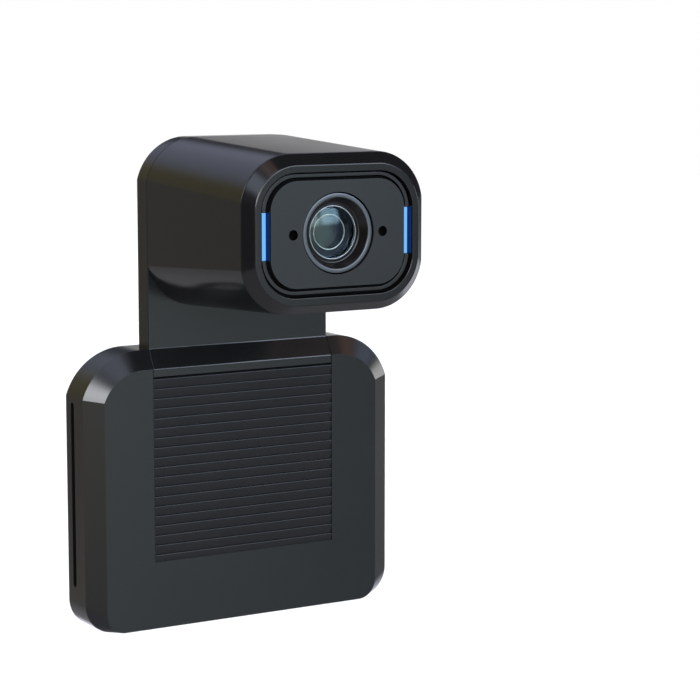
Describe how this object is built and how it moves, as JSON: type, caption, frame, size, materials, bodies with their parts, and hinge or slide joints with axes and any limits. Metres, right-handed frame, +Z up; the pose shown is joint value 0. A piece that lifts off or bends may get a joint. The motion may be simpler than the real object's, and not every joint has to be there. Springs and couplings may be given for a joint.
{
  "type": "ptz camera",
  "caption": "Wall-mounted camera: bevelled square base with a louvred grille, flat neck, and a tapered head with a deep zoom lens between two light bars.",
  "frame": {"origin": "middle of the four wall bolt holes, on the wall plane", "axes": "+X to the right seen from the front, +Y into the wall, +Z up; the lens looks along -Y"},
  "size_m": [0.14, 0.0937, 0.1964],
  "materials": {
    "housing": "satin moulded",
    "grille_black": "fine texture",
    "face": "satin",
    "bezel": "satin black",
    "ridge": "satin",
    "light": "diffuse light bar",
    "lens_metal": "dark anodised",
    "barrel_black": "matt baffle",
    "glass": "coated",
    "steel": "plain",
    "zinc": "zinc plated",
    "black_steel": "black oxide",
    "alloy": "bead blasted",
    "board": "solder mask",
    "chip": "moulded epoxy",
    "led": "moulded",
    "brass": "machined",
    "socket": "nickel plated",
    "pad": "soft",
    "nylon": "glass-filled",
    "flex": "polyimide",
    "sensor": "coated cover glass",
    "button": "moulded"
  },
  "bodies": {
    "wall_mount": {"wall_plate": "zinc", "hook_studs": "steel"},
    "camera": {"base_housing": "housing", "rear_cover": "housing", "cover_screws": "black_steel", "grille": "grille_black", "heat_sink": "alloy", "thermal_pad": "pad", "main_board": "board", "processor": "chip", "memory_chips": "chip", "board_screws": "steel", "ethernet_jack": "socket", "video_socket": "socket", "data_socket": "socket", "tripod_insert": "brass", "reset_switch": "nylon", "neck_shell": "housing", "neck_cover": "housing", "neck_frame": "zinc", "neck_screws": "steel", "ribbon_cable": "flex", "head_shell": "housing", "head_chassis": "zinc", "head_screws": "steel", "face_bezel": "bezel", "face_plate": "face", "light_guide": "ridge", "light_bar_left": "light", "light_bar_right": "light", "light_board": "board", "light_leds": "led", "microphones": "alloy", "lens_ring": "lens_metal", "front_barrel": "barrel_black", "front_retainer": "lens_metal", "front_lens": "glass", "inner_baffle": "lens_metal", "second_lens": "glass", "lens_body": "nylon", "guide_rods": "steel", "zoom_motor": "alloy", "focus_motor": "alloy", "iris_plate": "barrel_black", "iris_drive": "alloy", "filter_drive": "nylon", "sensor_board": "board", "image_sensor": "sensor"},
    "zoom_drive": {"zoom_screw": "steel"},
    "zoom_group": {"zoom_carriage": "nylon", "zoom_lens": "glass"},
    "focus_drive": {"focus_screw": "steel"},
    "focus_group": {"focus_carriage": "nylon", "focus_lens": "glass"},
    "iris_arm": {"iris_lever": "brass"},
    "iris_upper": {"iris_blade_upper": "black_steel"},
    "iris_lower": {"iris_blade_lower": "black_steel"},
    "filter_slide": {"filter_frame": "nylon", "filter_glasses": "glass"},
    "button": {"reset_button": "button"}
  },
  "joints": [
    {"name": "mount_lift", "type": "slide", "parent": "wall_mount", "child": "camera", "axis": [0, 0, 1], "range_m": [0, 0.006]},
    {"name": "zoom_screw_turn", "type": "hinge", "parent": "camera", "child": "zoom_drive", "pos_m": [0.016, -0.053, 0.1203], "axis": [0, 1, 0], "range_deg": [0, 1440]},
    {"name": "zoom_slide", "type": "slide", "parent": "camera", "child": "zoom_group", "axis": [0, 1, 0], "range_m": [0, 0.012]},
    {"name": "focus_screw_turn", "type": "hinge", "parent": "camera", "child": "focus_drive", "pos_m": [-0.016, -0.053, 0.0923], "axis": [0, 1, 0], "range_deg": [0, 1440]},
    {"name": "focus_slide", "type": "slide", "parent": "camera", "child": "focus_group", "axis": [0, 1, 0], "range_m": [0, 0.005]},
    {"name": "iris_turn", "type": "hinge", "parent": "camera", "child": "iris_arm", "pos_m": [0.0142, -0.053, 0.1063], "axis": [0, 1, 0], "range_deg": [-30, 30]},
    {"name": "iris_upper_slide", "type": "slide", "parent": "camera", "child": "iris_upper", "axis": [0, 0, 1], "range_m": [-0.00184, 0.00184]},
    {"name": "iris_lower_slide", "type": "slide", "parent": "camera", "child": "iris_lower", "axis": [0, 0, 1], "range_m": [-0.00185, 0.00185]},
    {"name": "filter_shift", "type": "slide", "parent": "camera", "child": "filter_slide", "axis": [1, 0, 0], "range_m": [0, 0.011]},
    {"name": "reset_press", "type": "slide", "parent": "camera", "child": "button", "axis": [0, 0, 1], "range_m": [0, 0.0006], "stiffness_N_per_m": 400, "springref_m": -0.0006}
  ],
  "couplings": [
    {"joint": "zoom_screw_turn", "follows": "zoom_slide", "rad_per_m": 2094.4},
    {"joint": "focus_screw_turn", "follows": "focus_slide", "rad_per_m": 5026.5},
    {"joint": "iris_turn", "follows": "iris_upper_slide", "rad_per_m": -284.09},
    {"joint": "iris_lower_slide", "follows": "iris_upper_slide", "ratio": -1}
  ]
}
